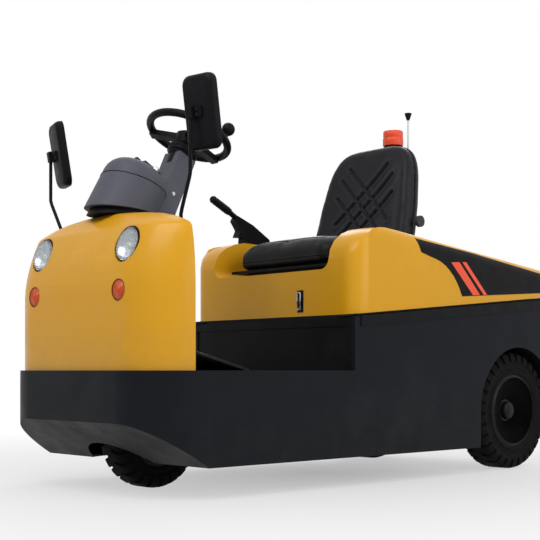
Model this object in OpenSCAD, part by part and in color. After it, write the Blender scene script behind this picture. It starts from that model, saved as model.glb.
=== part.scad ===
// Three-wheel electric baggage tug: yellow cowl and tilting rear hood on a low dark frame.
// Frame: +X forward, +Y left, +Z up, origin on the floor under the middle. Millimetres.

/* [Overall] */
// Front axle to front bumper face
front_overhang = 320; // [280:1:400]
// Front axle to rear axle
wheelbase = 1500; // [1400:1:1700]
// Rear wheel arch to the back plate
rear_clear = 37.5; // [30:0.5:80]
// Tow coupling behind the back plate
hitch_reach = 90; // [70:1:140]
// Width over the side frames
body_w = 890; // [820:1:1000]
// Height of the sill and of the bumper's top edge
sill_h = 393; // [380:1:430]
// Floor clearance under the frame
ground_gap = 97; // [80:1:130]
// Lower edge of the bumper at the nose
bumper_low = 232; // [200:1:280]
// Thickness of the bumper
bumper_t = 30; // [25:1:40]
// Thickness of the side frames
side_t = 14; // [10:1:20]
// Thickness of floor and belly sheet
sheet_t = 8; // [5:1:12]
// Corner radius of the nose in plan
nose_r = 200; // [160:1:260]
// Where the bumper meets the side frames, ahead of the front axle
bumper_end = 112; // [90:1:112]

/* [Front cowl] */
// Step from the bumper's face to the cowl
cowl_inset = 18; // [8:1:24]
// Step from the bumper's side to the cowl
cowl_side = 14; // [2:1:20]
// Cowl sheet thickness
cowl_wall = 5; // [4:0.5:7]
// Top of the cowl
cowl_top = 900; // [850:1:960]
// Rear edge of the cowl, ahead of the front axle
cowl_rear = 151; // [140:1:180]
// Height where the nose starts to lean back
cowl_crease = 640; // [600:1:760]
// How far the nose leans back above the crease
cowl_lean = 52; // [10:1:60]
// Instrument pod radius
pod_r = 112; // [90:1:125]
// Instrument pod height along its axis
pod_h = 188; // [140:1:210]
// Rounding of the pod's upper edge
pod_edge = 60; // [20:1:70]
// Pod axis on the cowl's top, ahead of the front axle
pod_ahead = 130; // [110:1:160]
// Pod lean to the rear, in degrees
pod_lean = 30; // [15:1:40]
// Headlamp pocket radius
lamp_r = 62; // [50:1:66]
// Headlamp height
lamp_z = 780; // [760:1:800]
// Lamps off the centre line
lamp_y = 240; // [200:1:250]
// Turn lamp pocket radius
turn_r = 39; // [30:1:45]
// Turn lamp height
turn_z = 638; // [600:1:660]
// Thickness of the lamp pocket walls
pocket_t = 5; // [4:1:8]

/* [Steering] */
// Column lean from upright
column_lean = 25; // [18:1:30]
// Width of the column cover
column_w = 84; // [60:1:110]
// Depth of the column cover
column_d = 74; // [50:1:90]
// Steering wheel's centre behind the front axle
wheel_back = 168; // [140:1:200]
// Steering wheel diameter
wheel_d = 310; // [260:1:360]
// Steering wheel rim thickness
wheel_rim = 27; // [22:1:34]
// Height of the steering wheel's centre
wheel_z = 1208; // [1160:1:1260]
// Shaft of the steering wheel
shaft_d = 24; // [18:1:30]

/* [Wheels] */
// Rear tyre diameter
rear_d = 465; // [440:1:470]
// Rear tyre width
rear_w = 125; // [100:1:135]
// Height of the rear tyre's section
rear_section = 90.5; // [80:0.5:100]
// Wheel arch over the rear tyre
arch_gap = 20; // [14:1:30]
// Rear tyre face inside the side frame
rear_inset = 7; // [6:1:12]
// Front tyre diameter
front_d = 350; // [320:1:352]
// Front tyre width
front_w = 110; // [90:1:115]
// Height of the front tyre's section
front_section = 73; // [65:0.5:85]
// Rear spindle diameter
spindle_d = 60; // [45:1:70]
// Front axle pin diameter
pin_d = 30; // [24:1:40]
// Kingpin diameter
king_d = 50; // [40:1:60]
// Running clearance of bores over their pins, on the diameter
run_gap = 0.5; // [0.3:0.05:0.6]

/* [Rear hood] */
// Foot well from cowl to bulkhead
well_l = 687; // [640:1:760]
// Lower edge of the hood at its front
lid_low = 587; // [560:1:620]
// Rise of the lower edge towards the rear, in degrees
lid_rise = 5.3; // [0:0.1:8]
// Top of the hood beside the seat
lid_top = 902; // [860:1:940]
// Fall of the top towards the rear, in degrees
lid_fall = 5.6; // [0:0.1:8]
// Hood sheet thickness
lid_wall = 6; // [4:1:10]
// Step from the side frame's outside to the hood
lid_inset = 5; // [0:1:12]
// Seat pocket floor
pocket_z = 750; // [720:1:770]
// Hood side beside the seat pocket, with its step
arm_w = 135; // [115:1:155]
// Seat pocket length
pocket_l = 655; // [620:1:700]
// Height of the dark strip under the hood
strip_h = 37; // [20:1:50]
// Joint between hood and frame
lid_gap = 8; // [6:1:14]

/* [Seat] */
// Seat cushion width
seat_w = 520; // [420:1:560]
// Cushion front edge behind the hood's front
seat_set = 50; // [30:1:80]
// Cushion length
seat_l = 405; // [380:1:430]
// Cushion thickness
seat_t = 106; // [70:1:120]
// Seat plate thickness
rail_t = 28; // [20:1:40]
// Backrest width at its foot
back_w = 524; // [460:1:560]
// Backrest width at its head
back_top_w = 400; // [340:1:480]
// Backrest height
back_h = 514; // [420:1:540]
// Backrest cushion thickness
back_t = 48; // [40:1:85]
// Backrest shell thickness
shell_t = 18; // [14:1:32]
// Backrest recline
back_lean = 13; // [6:1:16]

/* [Fittings] */
// Mirror head width
mirror_w = 126; // [110:1:150]
// Mirror head height
mirror_h = 230; // [190:1:250]
// Forward tip of the mirror heads, in degrees
mirror_tip = 9; // [0:1:15]
// Turn of the left mirror head to the driver, in degrees
mirror_turn_left = 9; // [0:1:20]
// Turn of the right mirror head to the driver, in degrees
mirror_turn_right = 18; // [0:1:25]
// Mirror head depth
mirror_t = 28; // [22:1:40]
// Mirror bar diameter
bar_d = 12; // [10:1:16]
// Beacon lens diameter
beacon_d = 80; // [60:1:100]
// Beacon top
beacon_top = 1382; // [1330:1:1420]
// Marker rod tip height
rod_top = 1470; // [1430:1:1520]
// Tow pin diameter
tow_pin_d = 25; // [20:1:32]
// Lid hinge pin diameter
hinge_d = 14; // [10:1:18]

/* [Hidden] */
$fn = 64;
eps = 0.01;
half = body_w / 2;
arch_r = rear_d / 2 + arch_gap;
rear_overhang = arch_r + rear_clear;
nose_x = (front_overhang + wheelbase + rear_overhang + hitch_reach) / 2;
front_x = nose_x - front_overhang;
rear_x = front_x - wheelbase;
tail_x = rear_x - rear_overhang;
cowl_x = front_x + cowl_rear;
bump_x = front_x + bumper_end;
inner = half - side_t;
pocket_w = body_w - 2 * arm_w;
bulk_x = cowl_x - well_l;
lid_x = bulk_x - 9;
lid_half = half - lid_inset;
front_r = front_d / 2;
rear_r = rear_d / 2;
rear_rim_d = rear_d - 2 * rear_section;
front_rim_d = front_d - 2 * front_section;
rear_y = inner - rear_inset - rear_w / 2;
crown_z = front_d + 6;
well_r = sqrt(pow(front_r, 2) + pow(front_w / 2, 2)) + 22;
floor_z = sill_h - 5;
belly_z = ground_gap;
house_y = rear_y - rear_w / 2 - 14;
toe_a = 14.4;
toe_x = front_x - 70;
dash_t = 6;
pad_t = 12;
column_x = front_x - wheel_back + (wheel_z - sill_h) * tan(column_lean);
wheel_s = (wheel_z - sill_h) / cos(column_lean);
seat_x = lid_x - seat_set;
rail_z = pocket_z;
cushion_z = pocket_z + rail_t;
back_x = seat_x - seat_l - 2;
hinge_x = tail_x - hinge_d / 2 - 6;
hinge_z = lid_bottom(tail_x) - 2;
mirror_x = front_x + 115;
deck_x = lid_x - pocket_l;

// Lower edge and top of the rear hood at a station
function lid_bottom(x) = lid_low + (lid_x - x) * tan(lid_rise);
function lid_crown(x) = lid_top - (lid_x - 215 - x) * tan(lid_fall);

// Rounded rectangle in plan as [x, y, nx], anticlockwise;
// b is [front, rear, half width, front and rear radius]
function plan_ring(b, n = 8) = concat(
    [for (i = [0:n]) let (a = 90 * i / n)
        [b[0] + b[3] * (cos(a) - 1), b[2] + b[3] * (sin(a) - 1), cos(a)]],
    [for (i = [0:n]) let (a = 90 + 90 * i / n)
        [b[1] + b[4] * (cos(a) + 1), b[2] + b[4] * (sin(a) - 1), cos(a)]],
    [for (i = [0:n]) let (a = 180 + 90 * i / n)
        [b[1] + b[4] * (cos(a) + 1), b[4] * (sin(a) + 1) - b[2], cos(a)]],
    [for (i = [0:n]) let (a = 270 + 90 * i / n)
        [b[0] + b[3] * (cos(a) - 1), b[3] * (sin(a) + 1) - b[2], cos(a)]]);

// Cowl plan: round front corners cut off at the rear; b is [front, rear, half width, radius]
function cowl_ring(b, n = 10) = let (e = acos(max(0, (b[1] - b[0]) / b[3] + 1))) concat(
    [for (i = [0:n]) let (a = e * i / n) [b[0] + b[3] * (cos(a) - 1), b[2] + b[3] * (sin(a) - 1)]],
    [for (i = [n:-1:0]) let (a = e * i / n) [b[0] + b[3] * (cos(a) - 1), b[3] * (1 - sin(a)) - b[2]]]);

// Value blended by direction: side, front and rear
function blend(p, s, f, r) = let (a = pow(max(p[2], 0), 0.8), b = pow(max(-p[2], 0), 0.8))
    s * (1 - a - b) + f * a + r * b;

// Ring of plan points at height z
function level(ring, z) = [for (p = ring) [p[0], p[1], z]];

// Rings of a rounded top edge; top is [height at x = 0, slope], each edge is [inwards, down]
function dome_rings(b, top, side, front, rear, n = 6, m = 8) = [for (k = [0:n])
    let (c = 1 - cos(90 * k / n), s = 1 - sin(90 * k / n))
    [for (p = plan_ring([b[0] - front[0] * c, b[1] + rear[0] * c, b[2] - side[0] * c, b[3], b[4]], m))
        [p[0], p[1], top[0] + top[1] * p[0] - s * blend(p, side[1], front[1], rear[1])]]];

// Closed skin over rings of equal count, first ring lowest
module loft(rings) {
    n = len(rings[0]);
    m = len(rings);
    polyhedron(points = [for (r = rings) for (p = r) p],
        faces = concat([[for (i = [0:n - 1]) i]],
            [for (k = [0:m - 2]) for (i = [0:n - 1]) let (j = (i + 1) % n)
                [k * n + i, (k + 1) * n + i, (k + 1) * n + j]],
            [for (k = [0:m - 2]) for (i = [0:n - 1]) let (j = (i + 1) % n)
                [k * n + i, (k + 1) * n + j, k * n + j]],
            [[for (i = [n - 1:-1:0]) (m - 1) * n + i]]));
}

// Cylinder along X or Y between two stations
module rod_x(r, x0, x1) translate([x0, 0, 0]) rotate([0, 90, 0]) cylinder(r = r, h = x1 - x0);
module rod_y(r, y0, y1) translate([0, y0, 0]) rotate([-90, 0, 0]) cylinder(r = r, h = y1 - y0);

// Round bar between two points with a thicker ball at its end
module bar(a, b, d) {
    v = b - a;
    l = norm(v);
    translate(a) rotate([0, acos(v[2] / l), atan2(v[1], v[0])]) cylinder(d = d, h = l, $fn = 24);
    translate(b) sphere(d = d + 2, $fn = 24);
}

// Upright profile in X and Z, pushed along Y
module side_profile(pts, y0, y1) translate([0, y1, 0]) rotate([90, 0, 0])
    linear_extrude(y1 - y0) polygon(pts);

// Mirrors its child to both sides
module both() for (s = [1, -1]) scale([1, s, 1]) children();

// Block with the nose's plan shape, inset by d from the outside
module nose_block(d, xr, z0, z1) translate([0, 0, z0]) intersection() {
    union() {
        both() translate([nose_x - nose_r, half - nose_r, 0]) cylinder(r = nose_r - d, h = z1 - z0);
        translate([xr, d - half, 0]) cube([max(nose_x - nose_r - xr, 1), body_w - 2 * d, z1 - z0]);
        translate([xr, nose_r - half, 0]) cube([nose_x - d - xr, body_w - 2 * nose_r, z1 - z0]);
    }
    translate([xr, -half, 0]) cube([nose_x - xr, body_w, z1 - z0]);
}

// Space under the slanted nose
module under_nose(lift) side_profile([[bump_x - 400, ground_gap + lift], [bump_x, ground_gap + lift],
    [nose_x, bumper_low + lift], [nose_x + 50, bumper_low + lift], [nose_x + 50, -50], [bump_x - 400, -50]],
    -body_w, body_w);

module bumper() color("#26282c") difference() {
    nose_block(0, bump_x, ground_gap, sill_h);
    nose_block(bumper_t, bump_x - 1, ground_gap - 1, sill_h + 1);
    under_nose(0);
}

module side_frame() difference() {
    side_profile([[bump_x, ground_gap], [bump_x, sill_h], [bulk_x, sill_h],
        [bulk_x, lid_bottom(bulk_x) - lid_gap],
        [tail_x, lid_bottom(tail_x) - lid_gap], [tail_x, 330], [tail_x + 60, 200],
        [rear_x - arch_r, 200], [rear_x + arch_r, 200], [rear_x + arch_r, ground_gap]], inner, half);
    translate([rear_x, 0, rear_r]) rod_y(arch_r, inner - 1, half + 1);
    translate([rear_x - arch_r, inner - 1, 0]) cube([2 * arch_r, side_t + 2, rear_r]);
}

module side_frame_left() color("#26282c") side_frame();

module side_frame_right() color("#26282c") scale([1, -1, 1]) side_frame();

module nose_plate() color("#1f2124") difference() {
    intersection() {
        nose_block(bumper_t, bump_x, ground_gap, sill_h);
        difference() {
            under_nose(sheet_t);
            under_nose(0);
        }
    }
    translate([front_x, 0, 0]) cylinder(r = well_r, h = sill_h);
}

module belly_plate() color("#1f2124") difference() {
    translate([rear_x + arch_r + 20, -inner, belly_z])
        cube([bump_x - rear_x - arch_r - 20, 2 * inner, sheet_t]);
    translate([front_x, 0, 0]) cylinder(r = well_r, h = sill_h);
}

module floor_plate() color("#222428") difference() {
    translate([bulk_x, -inner, floor_z - sheet_t]) cube([bump_x - bulk_x, 2 * inner, sheet_t]);
    translate([front_x, 0, 0]) cylinder(d = king_d + 44, h = sill_h);
}

module toe_board() color("#222428") difference() {
    side_profile([[toe_x, floor_z], [toe_x, floor_z + 4],
        [cowl_x - eps, floor_z + 4 + (cowl_x - toe_x) * tan(toe_a)],
        [cowl_x - eps, floor_z + (cowl_x - toe_x) * tan(toe_a)], [toe_x + 30, floor_z + 30 * tan(toe_a)],
        [toe_x + 30, floor_z]], -inner, inner);
    translate([front_x, 0, 0]) cylinder(d = king_d + 74, h = 600);
}

module pedal(y) translate([toe_x, y, floor_z + 4]) rotate([0, -toe_a, 0]) {
    translate([60, -10, 0]) cube([40, 20, 22]);
    translate([35, -38, 22]) cube([95, 76, 10]);
}

module pedals() color("#15161a") {
    pedal(-150);
    pedal(-270);
}

module bulkhead() color("#17181b") difference() {
    translate([bulk_x - 30, -inner, floor_z - sheet_t])
        cube([30, 2 * inner, lid_low - pad_t - floor_z + sheet_t]);
    translate([bulk_x - 31, -inner + 40, 0]) cube([25, 2 * inner - 80, lid_low - pad_t - 12]);
    translate([bulk_x - 4, -inner + 30, floor_z + 20]) cube([5, 2 * inner - 60, lid_low - 60 - floor_z]);
}

module lid_pads() color("#101113") translate([lid_x - lid_wall, 80 - lid_half, lid_low - pad_t])
    cube([lid_wall, 2 * lid_half - 160, pad_t]);

module battery() color("#2b2d33") {
    translate([rear_x + arch_r + 30, -inner + 30, belly_z + sheet_t])
        cube([bulk_x - rear_x - arch_r - 70, 2 * inner - 60, 440]);
}

module wheel_house() difference() {
    union() {
        translate([rear_x, 0, rear_r]) difference() {
            rod_y(arch_r + 8, house_y - 8, inner);
            rod_y(arch_r, house_y, inner + 1);
        }
        translate([rear_x - arch_r - 8, house_y - 8, 130])
            cube([2 * arch_r + 16, 8, rear_r + arch_r - 122]);
    }
    translate([rear_x - arch_r - 20, house_y - 9, -50]) cube([2 * arch_r + 40, inner, 180]);
    translate([rear_x - arch_r - 20, house_y, -10]) cube([2 * arch_r + 40, inner, rear_r + 10]);
    translate([rear_x, 0, rear_r]) rod_y(55, 0, inner);
}

module wheel_houses() color("#1a1b1e") both() wheel_house();

module back_plate() color("#26282c") translate([tail_x, -inner, 200])
    cube([16, 2 * inner, lid_bottom(tail_x) - lid_gap - 200]);

module side_strips() color("#191a1c") both() side_profile([
    [lid_x - 20, lid_bottom(lid_x - 20) - lid_gap], [tail_x, lid_bottom(tail_x) - lid_gap],
    [tail_x, lid_bottom(tail_x) - lid_gap - strip_h],
    [lid_x - 20, lid_bottom(lid_x - 20) - lid_gap - strip_h]],
    half, half + 4);

module rear_axle() color("#2a2c30") {
    translate([rear_x, 0, rear_r]) {
        rod_y(55 - 0.2, -house_y - 2, house_y + 2);
        both() rod_y(spindle_d / 2, house_y, rear_y + 10);
        rod_x(105, -90, 110);
        rod_x(82, 110, 150);
    }
}

module tow_coupling() color("#1c1d20") difference() {
    translate([tail_x - hitch_reach, -70, 240]) cube([hitch_reach, 140, 210]);
    for (z = [265, 335, 400]) translate([tail_x - hitch_reach - 1, -71, z])
        cube([hitch_reach - 25, 142, z == 400 ? 25 : 40]);
    translate([tail_x - 40, 0, 200]) cylinder(d = tow_pin_d + run_gap, h = 300);
}

module tow_pin() color("#8a8d92") translate([tail_x - 40, 0, 0]) {
    translate([0, 0, 244]) cylinder(d = tow_pin_d, h = 226);
    translate([0, 0, 450.3]) cylinder(d = tow_pin_d + 16, h = 12);
    translate([0, 0, 500]) rotate([90, 0, 0]) rotate_extrude() translate([28, 0]) circle(d = 9, $fn = 20);
    translate([0, 0, 462]) cylinder(d = 14, h = 16);
}

module tail_lamps() color("#b02018") both() translate([tail_x - 22, inner - 110, 520]) cube([22, 70, 110]);

// Knuckles of the lid hinge at one side; gap splits fixed and moving barrels
module hinge_base() color("#303236") both() translate([hinge_x, 250, hinge_z]) {
    for (y = [-50, 30]) difference() {
        union() {
            rod_y(hinge_d / 2 + 6, y, y + 20);
            translate([0, y, -60]) cube([tail_x - hinge_x, 20, 60]);
        }
        rod_y(hinge_d / 2 - eps, y - 1, y + 21);
    }
    rod_y(hinge_d / 2, -52, 52);
}

module hinge_leaf() color("#303236") both() translate([hinge_x, 250, hinge_z]) difference() {
    union() {
        rod_y(hinge_d / 2 + 6, -29, 29);
        translate([0, -29, 0]) cube([tail_x - hinge_x, 58, 60]);
    }
    rod_y((hinge_d + run_gap) / 2, -30, 30);
}

// Top edge of the cowl as insets of side and front and the drop below its top
cowl_arch = [[0, 0, 68], [4, 4, 60], [14, 12, 52], [60, 28, 32], [110, 42, 18], [180, 56, 7], [260, 70, 0]];

// Levels of the cowl grown inwards by d and cut at xr
function cowl_rings(d, xr) = let (x = nose_x - cowl_inset - d, w = half - cowl_side - d,
        r = nose_r - cowl_inset - d, rise = cowl_top - cowl_arch[0][2] - d - cowl_crease)
    concat([level(cowl_ring([x, xr, w, r]), sill_h - d)],
        [for (k = [0:5]) level(cowl_ring([x - cowl_lean * pow(k / 6, 1.7), xr, w, r]),
            cowl_crease + rise * k / 6)],
        [for (q = cowl_arch) level(cowl_ring([x - cowl_lean - q[1], xr, w - q[0], min(r, w - q[0] - 5)]),
            cowl_top - d - q[2])]);

module cowl() color("#dca324") difference() {
    loft(cowl_rings(0, cowl_x));
    loft(cowl_rings(cowl_wall, cowl_x - 10));
    both() translate([0, lamp_y, lamp_z]) rod_x(lamp_r + 0.2, nose_x - 160, nose_x);
    both() translate([0, lamp_y, turn_z]) rod_x(turn_r + 0.2, nose_x - 160, nose_x);
}

module dash_panel() color("#1b1c20") {
    edge = [for (r = cowl_rings(cowl_wall + 0.7, cowl_x + dash_t)) [r[10][1], max(r[10][2], sill_h)]];
    translate([cowl_x, 0, 0]) rotate([90, 0, 90]) linear_extrude(dash_t)
        polygon(concat(edge, [for (i = [len(edge) - 1:-1:0]) [-edge[i][0], edge[i][1]]]));
}

// Round pocket that ends flush with the cowl
module lamp_pocket(r, z, depth) intersection() {
    loft(cowl_rings(0, cowl_x));
    translate([0, lamp_y, z]) difference() {
        rod_x(r, nose_x - depth, nose_x);
        rod_x(r - pocket_t, nose_x - depth + 6, nose_x + 1);
    }
}

module lamp_pockets() color("#111214") both() {
    lamp_pocket(lamp_r, lamp_z, 130);
    lamp_pocket(turn_r, turn_z, 90);
}

// Lamp unit that fills its pocket: straight barrel and a shallow domed lens
module lamp(r, h, rise) rotate([0, 90, 0]) rotate_extrude() polygon(concat([[0, 0], [r, 0]],
    [for (i = [0:8]) [r * cos(90 * i / 8), h + rise * sin(90 * i / 8)]]));

module headlamps() color("#e8ecf0") both() translate([nose_x - 124, lamp_y, lamp_z])
    lamp(lamp_r - pocket_t - 0.2, 66, 12);

module turn_lamps() color("#e8541e") both() translate([nose_x - 84, lamp_y, turn_z])
    lamp(turn_r - pocket_t - 0.2, 62, 8);

// Space under the pod's lifted front lip
module pod_lip() side_profile([[cowl_x - 160, cowl_top - 200], [cowl_x - 160, cowl_top],
    [nose_x + 50, cowl_top + 40],
    [nose_x + 50, cowl_top - 200]], -half, half);

// Pod axis standing on the cowl's top
module along_pod() translate([front_x + pod_ahead, 0, cowl_top]) rotate([0, -pod_lean, 0]) children();

module pod_base() color("#141518") difference() {
    intersection() {
        along_pod() translate([0, 0, -90]) cylinder(r = pod_r - 18, h = 200);
        pod_lip();
    }
    translate([cowl_x, -half, 0]) cube([400, body_w, cowl_top]);
    column_block();
}

module instrument_pod() color("#5c5c66") difference() {
    along_pod() rotate_extrude($fn = 72)
        polygon(concat([[0, -90], [pod_r, -90]], [for (i = [0:6]) [pod_r + pod_edge * (cos(15 * i) - 1),
            pod_h + pod_edge * (sin(15 * i) - 1)]], [[0, pod_h + 6]]));
    pod_lip();
    column_block();
}

// Column frame: foot at sill height, Z along the steering axis
module along_column() translate([column_x, 0, sill_h]) rotate([0, -column_lean, 0]) children();

// Column cover before it is cut at the dash and the toe board
module column_block() along_column() translate([-column_d / 2, -column_w / 2, 0])
    cube([column_d, column_w, wheel_s - 90]);

module steering_column() color("#5f5f69") {
    difference() {
        column_block();
        translate([cowl_x, -200, 0]) cube([300, 400, 1600]);
        side_profile([[toe_x, 0], [toe_x, floor_z + 4],
            [cowl_x, floor_z + 4 + (cowl_x - toe_x) * tan(toe_a)],
            [cowl_x, 0]], -200, 200);
    }
    along_column() {
        translate([0, 0, wheel_s - 90]) cylinder(d = 66, h = 40);
        translate([0, 0, wheel_s - 50]) cylinder(d = shaft_d, h = 38);
    }
}

module steering_wheel() color("#141518") along_column() translate([0, 0, wheel_s]) {
    rotate_extrude() translate([(wheel_d - wheel_rim) / 2, 0]) circle(d = wheel_rim, $fn = 24);
    difference() {
        union() {
            translate([0, 0, -46]) cylinder(d = 86, h = 40);
            for (a = [60, 180, 300]) rotate([0, 0, a]) translate([20, -16, -24])
                cube([wheel_d / 2 - wheel_rim / 2 - 20, 32, 20]);
        }
        translate([0, 0, -47]) cylinder(d = shaft_d + run_gap, h = 37);
    }
    rotate([0, 0, 116]) translate([(wheel_d - wheel_rim) / 2 - 3, 0, 3])
        rotate_extrude() polygon(concat([[0, 0], [8, 0], [8, 22]],
        [for (i = [0:12]) let (a = 12 * i - 54) [23 * cos(a), 41 + 23 * sin(a)]], [[0, 64]]));
}

module steer_bearing() color("#303236") translate([front_x, 0, 0]) difference() {
    union() {
        translate([0, 0, crown_z + 18.3]) cylinder(d = king_d + 40, h = 100);
        translate([0, 0, floor_z]) cylinder(d = king_d + 70, h = 8);
    }
    cylinder(d = king_d + run_gap, h = 700);
}

module fork() color("#2a2c30") translate([front_x, 0, 0]) {
    translate([0, 0, crown_z]) cylinder(d = 180, h = 18);
    translate([0, 0, crown_z]) cylinder(d = king_d, h = 116);
    both() translate([-38, front_w / 2 + 9, front_r - 38]) cube([76, 14, crown_z - front_r + 46]);
    translate([0, 0, front_r]) rod_y(pin_d / 2, -front_w / 2 - 30, front_w / 2 + 30);
}

// Tyre about its own Y axis
module tyre(r, w, bore) rotate([90, 0, 0]) rotate_extrude($fn = 96) polygon([[bore, -w / 2 + 6],
    [bore + 10, -w / 2], [r - 34, -w / 2], [r - 14, -w / 2 + 5], [r - 3, -w / 2 + 14], [r, -w / 2 + 24],
    [r, w / 2 - 24], [r - 3, w / 2 - 14], [r - 14, w / 2 - 5], [r - 34, w / 2],
    [bore + 10, w / 2], [bore, w / 2 - 6]]);

module front_tyre() color("#17181a") translate([front_x, 0, front_r])
    tyre(front_r, front_w, front_rim_d / 2 + 0.1);

module front_rim() color("#3a3c40") translate([front_x, 0, front_r]) rotate([90, 0, 0])
    rotate_extrude($fn = 72)
    polygon([[(pin_d + run_gap) / 2, -48], [32, -48], [32, -8], [front_rim_d / 2 - 8, -8],
        [front_rim_d / 2 - 8, -front_w / 2 + 6],
        [front_rim_d / 2, -front_w / 2 + 6], [front_rim_d / 2, front_w / 2 - 6],
        [front_rim_d / 2 - 8, front_w / 2 - 6],
        [front_rim_d / 2 - 8, 8], [32, 8], [32, 48], [(pin_d + run_gap) / 2, 48]]);

module rear_tyre() translate([rear_x, rear_y, rear_r]) tyre(rear_r, rear_w, rear_rim_d / 2 + 0.1);

module rear_tyre_left() color("#17181a") rear_tyre();

module rear_tyre_right() color("#17181a") scale([1, -1, 1]) rear_tyre();

module rear_rim() translate([rear_x, rear_y, rear_r]) {
    rotate([-90, 0, 0]) rotate_extrude($fn = 72) polygon([
        [(spindle_d + run_gap) / 2, -60], [58, -60], [58, -24],
        [rear_rim_d / 2 - 9, -14], [rear_rim_d / 2 - 9, -rear_w / 2 + 6], [rear_rim_d / 2, -rear_w / 2 + 6],
        [rear_rim_d / 2, rear_w / 2 - 6], [rear_rim_d / 2 - 9, rear_w / 2 - 2],
        [rear_rim_d / 2 - 9, -4], [58, -12], [52, 16],
        [36, 18], [34, 34], [24, 40], [0, 41], [0, 14], [(spindle_d + run_gap) / 2, 14]]);
    for (a = [0:72:288]) rotate([0, a, 0]) translate([92, -14, 0])
        rotate([-90, 0, 0]) cylinder(d = 26, h = 22, $fn = 6);
}

module rear_rim_left() color("#222428") rear_rim();

module rear_rim_right() color("#222428") scale([1, -1, 1]) rear_rim();

// Rear hood block grown inwards by d
module lid_block(d) {
    b = [lid_x - d, tail_x + d, lid_half - d, 70 - d, 60 - d];
    loft(concat([[for (p = plan_ring(b)) [p[0], p[1], lid_bottom(p[0]) - 5 * d]]],
        dome_rings(b, [lid_crown(0) - d, tan(lid_fall)], [48, 48], [215, 140], [45, 40])));
}

// Seat pocket open to the front and top, grown outwards by d
module seat_pocket(d) translate([deck_x - d, 0, 0]) rotate([90, 0, 90]) linear_extrude(pocket_l + 60)
    polygon(concat([[-pocket_w / 2 - d, pocket_z + 400]], [for (i = [0:6]) let (a = 180 + 15 * i)
        [40 - pocket_w / 2 + (40 + d) * cos(a), pocket_z + 40 + (40 + d) * sin(a)]],
        [for (i = [0:6]) let (a = 270 + 15 * i)
        [pocket_w / 2 - 40 + (40 + d) * cos(a), pocket_z + 40 + (40 + d) * sin(a)]],
        [[pocket_w / 2 + d, pocket_z + 400]]));

module rear_hood() color("#dca324") difference() {
    lid_block(0);
    difference() {
        lid_block(lid_wall);
        seat_pocket(lid_wall);
    }
    seat_pocket(0);
    translate([lid_x - 30, 151, lid_low + 14]) cube([40, 34, 80]);
}

module seat_plate() color("#121316") {
    along_back() translate([-back_t - shell_t - 10, -70, -28]) cube([10, 140, 190]);
    translate([back_x - 110, -190, rail_z]) cube([seat_x - 25 - back_x + 110, 380, rail_t]);
    translate([back_x + 30, -seat_w / 2 - 10, cushion_z - 10]) cube([seat_l - 34, seat_w + 20, 10]);
}

module seat_cushion() color("#1d1e23") {
    b = [seat_x, seat_x - seat_l, seat_w / 2, 60, 30];
    loft(concat([level(plan_ring(b - [14, -14, 14, 0, 0]), cushion_z), level(plan_ring(b), cushion_z + 16)],
        dome_rings(b, [cushion_z + seat_t, 0], [44, 44], [80, 60], [20, 20])));
}

// Backrest frame: Z up the reclined back, X forward
module along_back() translate([back_x, 0, cushion_z + 30]) rotate([0, -back_lean, 0]) children();

// Outline of the back grown inwards by d: wide at the hips, narrowing in a curve to the head
function back_ring(h, w, d, n = 48) = [for (i = [0:n - 1]) let (a = 360 * i / n,
        s = sign(sin(a)) * pow(abs(sin(a)), 0.4), c = sign(cos(a)) * pow(abs(cos(a)), 0.4),
        z = h / 2 + (h / 2 - d) * s)
    [-z, c * (w / 2 * (1 - (1 - back_top_w / back_w) * pow(z / h, 2.2)) - d)]];

// Back slab pushed along X with one rounded edge
module back_slab(t, grow, edge) rotate([0, 90, 0]) loft(concat(
    [level(back_ring(back_h + grow, back_w + 2 * grow, 0), 0)],
    [for (k = [0:5]) level(back_ring(back_h + grow, back_w + 2 * grow, edge * (1 - cos(18 * k))),
        t - edge * (1 - sin(18 * k)))]));

module backrest() color("#1d1e23") along_back() translate([-back_t, 0, 0]) back_slab(back_t, 0, 26);

module backrest_shell() color("#34363b") {
    z = 180;
    y = (back_w / 2 - 6) * (1 - (1 - back_top_w / back_w) * pow(z / (back_h - 6), 2.2));
    along_back() translate([-back_t, 0, 0]) {
        rotate([0, 0, 180]) back_slab(shell_t, -6, 14);
        translate([-shell_t / 2 - 1, 0, z]) {
            rod_y(8, y - 20, y + 10);
            rod_y(22, y + 9, y + 22);
        }
    }
}

// Cuts its children off at the hood's sloping top
module on_deck() difference() {
    children();
    side_profile([[tail_x - 90, lid_crown(tail_x - 90)], [lid_x, lid_crown(lid_x)],
        [lid_x, 0], [tail_x - 90, 0]],
        -half, half);
}

module brake_lever() color("#141518") translate([lid_x, -pocket_w / 2 - 38, lid_top]) {
    translate([-lid_x, 0, -lid_top]) on_deck() translate([lid_x, 0, lid_top])
        side_profile([[-168, -30], [-174, 26],
        [-142, 25], [-155, 54], [-129, 90], [-142, 111], [-226, 79], [-315, 28], [-327, -30]], -17, 17);
    bar([-180, 0, 85], [-90, 0, 136], 22);
    bar([-110, 0, 125], [-28, 0, 165], 29);
}

module hood_latch() color("#8a8d92") {
    translate([lid_x - lid_wall - 8, 143, lid_low + 16]) cube([8, 50, 76]);
    translate([lid_x - lid_wall - 8, 160, lid_low + 34]) cube([lid_wall + 14, 16, 40]);
}

module beacon_pole() color("#1a1b1e") translate([deck_x - 50, 0, 0]) {
    z = lid_crown(deck_x - 50);
    translate([-(deck_x - 50), 0, 0]) on_deck() translate([deck_x - 50, 0, z - 20]) {
        cylinder(d = 26, h = beacon_top - 62 - z + 20);
        cylinder(d = 90, h = 32);
    }
    translate([0, 0, beacon_top - 80]) cylinder(d = beacon_d - 4, h = 18);
}

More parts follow.
